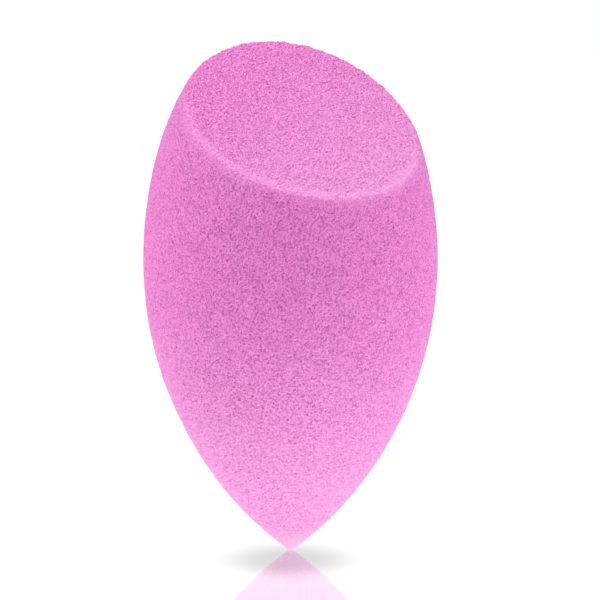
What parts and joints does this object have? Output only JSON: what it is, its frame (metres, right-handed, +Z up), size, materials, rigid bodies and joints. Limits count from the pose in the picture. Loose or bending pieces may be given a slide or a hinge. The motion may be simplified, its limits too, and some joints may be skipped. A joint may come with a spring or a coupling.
{
  "type": "makeup sponge",
  "caption": "Drop-shaped soft foam makeup sponge with a pointed tip for small areas and a slanted flat face for pressing product on.",
  "frame": {"origin": "the pointed tip, on the axis of the drop and on the surface that the picture shows it standing on", "axes": "+Z up the axis of the drop, -Y towards the side that the slanted flat face looks to, X across the mirror plane"},
  "size_m": [0.038, 0.038, 0.066],
  "materials": {
    "foam": "matte fine-celled pink foam with small open pores"
  },
  "bodies": {
    "root": {"sponge_body": "foam"}
  },
  "joints": []
}
